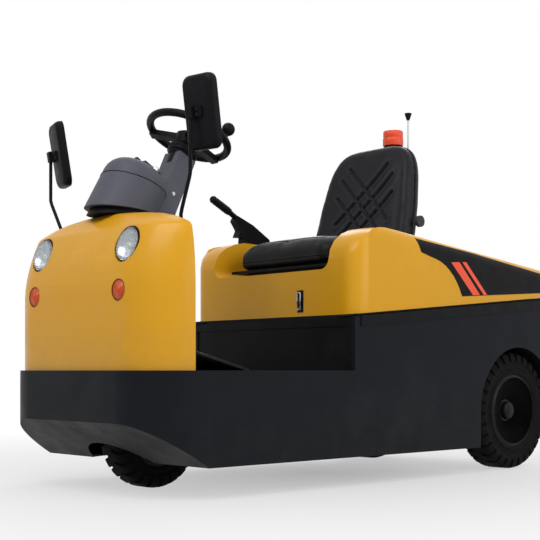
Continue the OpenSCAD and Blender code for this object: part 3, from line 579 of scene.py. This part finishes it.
def lugged(name, body, centre, r, half, bore, lugs, node):
    """Tyre with grooves between its lugs, those of the two shoulders half a pitch apart."""
    profile = tyre_half(r, half, bore)
    rows = []
    for side in (1, -1):
        seq = profile if side > 0 else profile[::-1]
        for q, (rad, y, deep) in enumerate(seq):
            a, b = seq[max(q - 1, 0)], seq[min(q + 1, len(seq) - 1)]
            t = Vector((b[0] - a[0], side * (b[1] - a[1]))).normalized()
            out = Vector((-t.y, t.x))
            if out.dot(Vector((1, side * 0.6))) < 0:
                out = -out
            row = []
            for k in range(lugs):
                for f in LUG_CUTS:
                    turn = k + f + (0.5 if side < 0 else 0) + LUG_SWEEP * (1 - y / half)
                    low = deep if GROOVE_FROM < f < GROOVE_TO else 0
                    row.append((rad - out.x * low, side * y - out.y * low, 2 * math.pi * turn / lugs))
            if side < 0:
                opposite = len(LUG_CUTS) * (lugs // 2)
                row = row[opposite:] + row[:opposite]
            rows.append(row)
    points = [[(centre[0] + a * math.cos(w), centre[1] + y, centre[2] + a * math.sin(w)) for a, y, w in row]
              for row in rows]
    bm = bmesh.new()
    vs = [[bm.verts.new(q) for q in row] for row in points]
    n = len(vs[0])
    for a, b in zip(vs, vs[1:] + vs[:1]):
        for i in range(n):
            bm.faces.new((a[i], a[(i + 1) % n], b[(i + 1) % n], b[i]))
    ob = piece(name, bm, "tyre_rubber", body, angle=28)
    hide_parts(node)


for side, tag in SIDES:
    lugged("tyre_rear_" + tag, "rear_wheel_" + tag, (REAR_X, side * REAR_Y, REAR_R),
           r=REAR_R, half=0.0625, bore=0.1421, lugs=30, node="rear_tyre_" + tag)
lugged("tyre_front", "front_wheel", (FRONT_X, 0, FRONT_R),
       r=FRONT_R, half=0.055, bore=0.1021, lugs=24, node="front_tyre")

# Head lamps: bowl, bulb, lens and dark bezel, leaning back, the bezel's black partly painted shade between
# pocket and lens; turn lamps: rippled lens and bezel
BOWL = [(0.0545, -0.002), (0.052, -0.006), (0.045, -0.015), (0.034, -0.022), (0.020, -0.027),
        (0.010, -0.029), (0.010, -0.033), (0.040, -0.033)]
BULB = [(0.009, -0.030), (0.009, -0.016), (0.008, -0.011), (0.0045, -0.008), (0.001, -0.007)]
LENS = [(0.0562, -0.001), (0.0566, 0.0), (0.0556, 0.0025), (0.052, 0.005), (0.044, 0.008),
        (0.032, 0.0105), (0.018, 0.0118), (0.006, 0.0122), (0.001, 0.0123)]
LAMP_RING = [(0.0528, -0.003), (0.0568, -0.004), (0.0568, 0.0025), (0.0550, 0.0034), (0.0532, 0.0020)]
TURN_RING = [(0.0312, -0.006), (0.0338, -0.006), (0.0338, 0.0015), (0.0325, 0.0026), (0.0314, 0.0015)]
TURN_R = 0.0312
TURN_DOME = 0.0078
RIPPLE = 0.0007
RIPPLE_STEPS = 28
TURN_LENS = [(TURN_R, -0.012)] + [
    (TURN_R * (1 - i / RIPPLE_STEPS),
     TURN_DOME * math.sin(QUARTER * i / RIPPLE_STEPS) ** 0.7 + RIPPLE * math.cos(i * 1.57))
    for i in range(RIPPLE_STEPS - 1)]

for side, tag in SIDES:
    put = at(1.046, side * LAMP_Y, 0.78, ry=QUARTER - math.radians(14))
    turned("lamp_bowl_" + tag, BOWL, 48, put, "reflector", "chassis", "bright_steel",
           flute=0.0008, flutes=24, ring=True)
    turned("lamp_bulb_" + tag, BULB, 24, put, "white_rod", "chassis")
    lens = turned("lamp_lens_" + tag, LENS, 64, put, "clear_glass", "chassis")
    # A real bezel ring round the lens, its black partly painted shade between the lamp pocket and the lens
    turned("lamp_bezel_painted_shade_" + tag, LAMP_RING, 64, put, "black_plastic", "chassis", ring=True)
    put = at(1.078, side * LAMP_Y, 0.638, ry=QUARTER)
    turn = turned("turn_lens_" + tag, TURN_LENS, 64, put, "amber_lens", "chassis", "orange_lens")
    turned("turn_ring_" + tag, TURN_RING, 64, put, "black_plastic", "chassis", ring=True)
    if side > 0:
        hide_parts("headlamps")
        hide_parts("turn_lamps")

# Foot well: ribbed mat, pedal pads and the toe board's edge trim
ribbed("floor_mat", "black_rubber", "chassis", x0=0.262, x1=0.700, half=0.405, z=0.3881,
       base=0.0025, rise=0.002, pitch=0.022)
for i, y in enumerate((-0.150, -0.270)):
    ribbed("pedal_pad_%d" % (i + 1), "black_rubber", "chassis", x0=0.037, x1=0.128, half=0.036, z=0.0319,
           base=0.002, rise=0.003, pitch=0.013, place=at(0.710, y, 0.392, ry=math.radians(-14.4)))
for side, tag in SIDES:
    edge = [(x, side * 0.427, z) for x, z in ((0.716, 0.3950), (0.800, 0.4166), (0.926, 0.4489))]
    piece("toe_trim_" + tag, tube(edge, 0.0022, 10), "rim_paint", "chassis")

# Steering: horn cap, switch housing with its stalk, column screws; heights run along the column
COLUMN = at(0.992, 0, 0.393, ry=math.radians(-25))
TOP = 0.8993
HORN_CAP = [(0.036, TOP - 0.008), (0.036, TOP - 0.003), (0.033, TOP + 0.002), (0.024, TOP + 0.005),
            (0.012, TOP + 0.0065), (0.001, TOP + 0.007)]
SWITCH_BOX = [(0.040, TOP - 0.128), (0.041, TOP - 0.090), (0.046, TOP - 0.088), (0.047, TOP - 0.083),
              (0.050, TOP - 0.081), (0.053, TOP - 0.077), (0.053, TOP - 0.058), (0.051, TOP - 0.054),
              (0.046, TOP - 0.052), (0.030, TOP - 0.051)]
STALK = [(0, 0.045, TOP - 0.080), (0.006, 0.075, TOP - 0.077), (0.014, 0.105, TOP - 0.071),
         (0.022, 0.130, TOP - 0.064)]
STALK_KNOB = [(0.005, -0.004), (0.0085, 0.004), (0.0095, 0.016), (0.0085, 0.026), (0.004, 0.031),
              (0.001, 0.032)]
turned("horn_cap", HORN_CAP, 48, COLUMN, "black_plastic", "steering_wheel_body")
turned("switch_box", SWITCH_BOX, 56, COLUMN, "black_plastic", "chassis")
stalk = [COLUMN @ Vector(q) for q in STALK]
piece("switch_stalk", tube(stalk, 0.0045, 12), "black_plastic", "chassis")
knob = Matrix.Translation(stalk[3]) @ facing(stalk[3] - stalk[2])
turned("stalk_knob", STALK_KNOB, 24, knob, "black_plastic", "chassis")
for k, (h, y) in enumerate(((0.50, 1), (0.66, 1), (0.50, -1), (0.66, -1))):
    bolt("column_screw_%d" % (k + 1), COLUMN @ at(0, y * 0.042, h, rx=-y * QUARTER), 0.007, "chassis")

# Instrument pod: seam bead, display and switches on its top
POD = at(0.910, 0, 0.900, ry=math.radians(-30))
POD_SIDE = surface(NODES["instrument_pod"].data)
RING_POINTS = 120
SEAM_HEIGHT = 0.122
SEAM_TILT = 0.020
KEY_BARREL = [(0.011, 0.184), (0.011, 0.198), (0.009, 0.201), (0.001, 0.2012)]
SWITCH_PITCH = 0.026
seam = []
for k in range(RING_POINTS):
    t = 2 * math.pi * k / RING_POINTS
    a = POD.to_3x3() @ Vector((math.cos(t), math.sin(t), 0))
    hit = POD_SIDE.ray_cast(POD @ Vector((0, 0, SEAM_HEIGHT - SEAM_TILT * math.cos(t))) + 0.3 * a, -a)[0]
    seam.append(hit + 0.0003 * a)
piece("pod_seam", tube(seam, 0.0013, 8, True), "black_plastic", "chassis", angle=60)
block("display_case", (-0.046, -0.050, 0.184), (0.030, 0.050, 0.202), 0.005, "black_plastic", "chassis", POD)
block("display_glass", (-0.036, -0.040, 0.198), (0.016, 0.040, 0.2036), 0.002, "screen", "chassis", POD,
      "black_plastic")
for k in range(3):
    y = SWITCH_PITCH * k
    block("dash_switch_%d" % (k + 1), (0.036, -0.034 + y, 0.186), (0.054, -0.018 + y, 0.200), 0.003,
          "black_rubber", "chassis", POD)
turned("key_barrel", KEY_BARREL, 32, POD @ at(-0.010, 0.064, -0.004), "bright_steel", "chassis")

# Mirror bolts
for tag, y, z, turn, off in (("left", 0.358, 1.184, 9, 0.022), ("right", -0.437, 1.158, -18, 0.027)):
    head = at(0.895, y, z, ry=math.radians(9), rz=math.radians(turn))
    for k, level in ((-1, "low"), (1, "high")):
        bolt("mirror_bolt_%s_%s" % (tag, level), head @ at(-0.005, off, k * 0.0085, ry=QUARTER), 0.005,
             "chassis", "rim_paint")

# Rear hood: latch loop, lever grip rings, beacon lens and rod tip
LOOP = ((-1, -0.85), (-1, 0), (-1, 0.85), (-0.8, 1), (0, 1), (0.8, 1),
        (1, 0.85), (1, 0), (1, -0.85), (0.8, -1), (0, -1), (-0.8, -1))
GRIP_FOOT = Vector((0.125, -0.348, 1.027))
GRIP_END = Vector((0.207, -0.348, 1.067))
GRIP_RING = [(0.0137, 0.000), (0.0158, 0.002), (0.0160, 0.004), (0.0158, 0.006), (0.0137, 0.008)]
BEACON = [(0.0415, 0.0), (0.0420, 0.002), (0.0420, 0.028), (0.0412, 0.0305), (0.0400, 0.0315),
          (0.0400, 0.0335), (0.0405, 0.0350), (0.0405, 0.0565), (0.0385, 0.0605), (0.034, 0.0617),
          (0.001, 0.0617)]
ROD_TIP = [(0.0048, 0.002), (0.0062, 0.002), (0.0150, 0.0285), (0.0150, 0.0305), (0.0138, 0.0312),
           (0.001, 0.0312)]
loop = [Vector((0.2425, 0.168 + 0.008 * a, 0.642 + 0.030 * b)) for a, b in LOOP]
piece("latch_loop", tube(loop, 0.0026, 10, True), "bright_steel", "rear_hood_lid")
grip = Matrix.Translation(GRIP_FOOT) @ facing(GRIP_END - GRIP_FOOT)
for k in range(6):
    turned("grip_ring_%d" % (k + 1), GRIP_RING, 32, grip @ at(0, 0, 0.010 + 0.0125 * k), "black_rubber",
           "rear_hood_lid", ring=True)
lens = turned("beacon_cover", BEACON, 180, at(-0.470, 0, 1.320), "orange_lens", "rear_hood_lid",
              flute=0.0003, flutes=60)
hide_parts("beacon_lens")
turned("rod_tip", ROD_TIP, 32, at(-0.566, 0, 1.440), "black_plastic", "rear_hood_lid")

# Seat piping laid on the cushion's side, in the cushion's darkened vinyl with painted shade
PAD = surface(seat.data)
PIPING_CENTRE = Vector((-0.018, 0, 0.812))
ring = []
for k in range(RING_POINTS):
    t = 2 * math.pi * k / RING_POINTS
    a = Vector((math.cos(t), math.sin(t), 0))
    ring.append(PAD.ray_cast(PIPING_CENTRE + a, -a)[0] - a * 0.0012)
piece("seat_piping", tube(ring, 0.0034, 10, True), "seat_vinyl_painted_shade", "rear_hood_lid", "black_vinyl", angle=60)

# Rubber seals between hood and frame; the side one follows the hood's rising lower edge
HOOD_EDGE_X = 0.235
HOOD_EDGE_Z = 0.583
HOOD_RISE = math.tan(math.radians(5.3))
SEAL_Y = 0.436
SEAL_X = [0.229 - 0.06145 * k for k in range(21)]
for side, tag in SIDES:
    across = [Vector((0.232, side * y, 0.581)) for y in (0.361, 0.385, 0.405, 0.426)]
    piece("front_seal_" + tag, tube(across, 0.0056, 12), "black_rubber", "chassis", angle=60)
    along = [Vector((x, side * SEAL_Y, HOOD_EDGE_Z + (HOOD_EDGE_X - x) * HOOD_RISE)) for x in SEAL_X]
    piece("side_seal_" + tag, tube(along, 0.0036, 12), "black_rubber", "chassis", angle=60)

# Tail lamps: housing with a red lens over an orange one
TAIL_INNER = 0.3212
TAIL_OUTER = 0.3908
TAIL_RIM = 0.005
LENS_BACK = -1.0318
LENS_FOOT = -1.018
for side, tag in SIDES:
    a, b = sorted((side * TAIL_INNER, side * TAIL_OUTER))
    block("tail_case_" + tag, (-1.022, a, 0.5202), (-1.0100, b, 0.6298), 0.004, "black_plastic", "chassis")
    a, b = a + TAIL_RIM, b - TAIL_RIM
    red = block("tail_red_" + tag, (LENS_BACK, a, 0.562), (LENS_FOOT, b, 0.6255), 0.005, "red_lens", "chassis")
    block("tail_amber_" + tag, (LENS_BACK, a, 0.5245), (LENS_FOOT, b, 0.559), 0.005, "orange_lens", "chassis")
    if side > 0:
        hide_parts("tail_lamps")

# Hub caps
HUB_CAP = [(0.0352, 0.016), (0.0352, 0.031), (0.033, 0.037), (0.026, 0.0415), (0.014, 0.044),
           (0.001, 0.0448)]
for side, tag in SIDES:
    turned("hub_cap_" + tag, HUB_CAP, 48, at(REAR_X, side * REAR_Y, REAR_R, rx=-side * QUARTER), "rim_paint",
           "rear_wheel_" + tag)


def straight_rays(tree):
    """1 for rays from the camera, a reflection or a clear piece, which see white, else 0."""
    rays = tree.nodes.new("ShaderNodeLightPath")
    seen = rays.outputs["Is Camera Ray"]
    for ray in ("Is Glossy Ray", "Is Transmission Ray"):
        most = tree.nodes.new("ShaderNodeMath")
        most.operation = "MAXIMUM"
        tree.links.new(seen, most.inputs[0])
        tree.links.new(rays.outputs[ray], most.inputs[1])
        seen = most.outputs[0]
    return seen


# Floor: white, with the shadow left in near the object
WHITE = (1, 1, 1, 1)
floor_mesh = bpy.data.meshes.new("floor")
bm = bmesh.new()
bmesh.ops.create_circle(bm, cap_ends=True, radius=60, segments=96)
bm.to_mesh(floor_mesh)
bm.free()
floor = bpy.data.objects.new("floor", floor_mesh)
scene.collection.objects.link(floor)
floor.location.z = -0.0005

ground = Mat("floor", (0.62, 0.62, 0.62, 1), 0.6, Specular_IOR_Level=0.2)
ground.vary(2, 0.01)
glow = ground.node("Emission", {"Color": WHITE, "Strength": 1.0})
far = ground.node("VectorMath", {0: ground.xyz}, operation="LENGTH").outputs["Value"]
shown = ground.math("MULTIPLY", straight_rays(ground.tree), ground.remap(far, 0.0, 3.2, 0.4, 1.0))
mix = ground.node("MixShader", {0: shown, 1: ground.shader.outputs[0], 2: glow.outputs[0]})
ground.tree.links.new(mix.outputs[0], ground.tree.nodes["Material Output"].inputs["Surface"])
floor_mesh.materials.append(ground.material)

# World: dim and slightly blue as a light, white to look at
world = bpy.data.worlds.new("studio")
scene.world = world
world.use_nodes = True
studio = world.node_tree
sky = studio.nodes["Background"]
sky.inputs["Color"].default_value = (0.93, 0.96, 1.0, 1)
sky.inputs["Strength"].default_value = 0.36
white = studio.nodes.new("ShaderNodeBackground")
white.inputs["Color"].default_value = WHITE
pick = studio.nodes.new("ShaderNodeMixShader")
for i, source in enumerate((straight_rays(studio), sky.outputs[0], white.outputs[0])):
    studio.links.new(source, pick.inputs[i])
studio.links.new(pick.outputs[0], studio.nodes["World Output"].inputs["Surface"])


def area(name, place, aim, size, watts):
    lamp = bpy.data.lights.new(name, "AREA")
    lamp.energy = watts
    lamp.size = size
    ob = bpy.data.objects.new(name, lamp)
    scene.collection.objects.link(ob)
    ob.location = place
    ob.rotation_euler = (Vector(aim) - Vector(place)).to_track_quat("-Z", "Y").to_euler()


area("key", (3.2, 1.2, 4.2), (0.2, 0, 0.6), 3.0, 118)
area("side", (-0.6, 4.6, 2.6), (0, 0, 0.6), 3.5, 88)
area("back", (-3.2, -2.6, 3.6), (0, 0, 0.7), 3.0, 85)

# Camera: level, with the frame shifted up as in the photo
cam = bpy.data.objects.new("camera", bpy.data.cameras.new("camera"))
scene.collection.objects.link(cam)
cam.location = (3.057, 3.034, 0.393)
cam.rotation_euler = (QUARTER, 0, math.atan2(0.682, -0.731))
cam.data.lens = 74.53
cam.data.sensor_width = 36
cam.data.shift_y = 0.186
cam.data.clip_end = 200
scene.camera = cam
scene.view_settings.view_transform = "Standard"
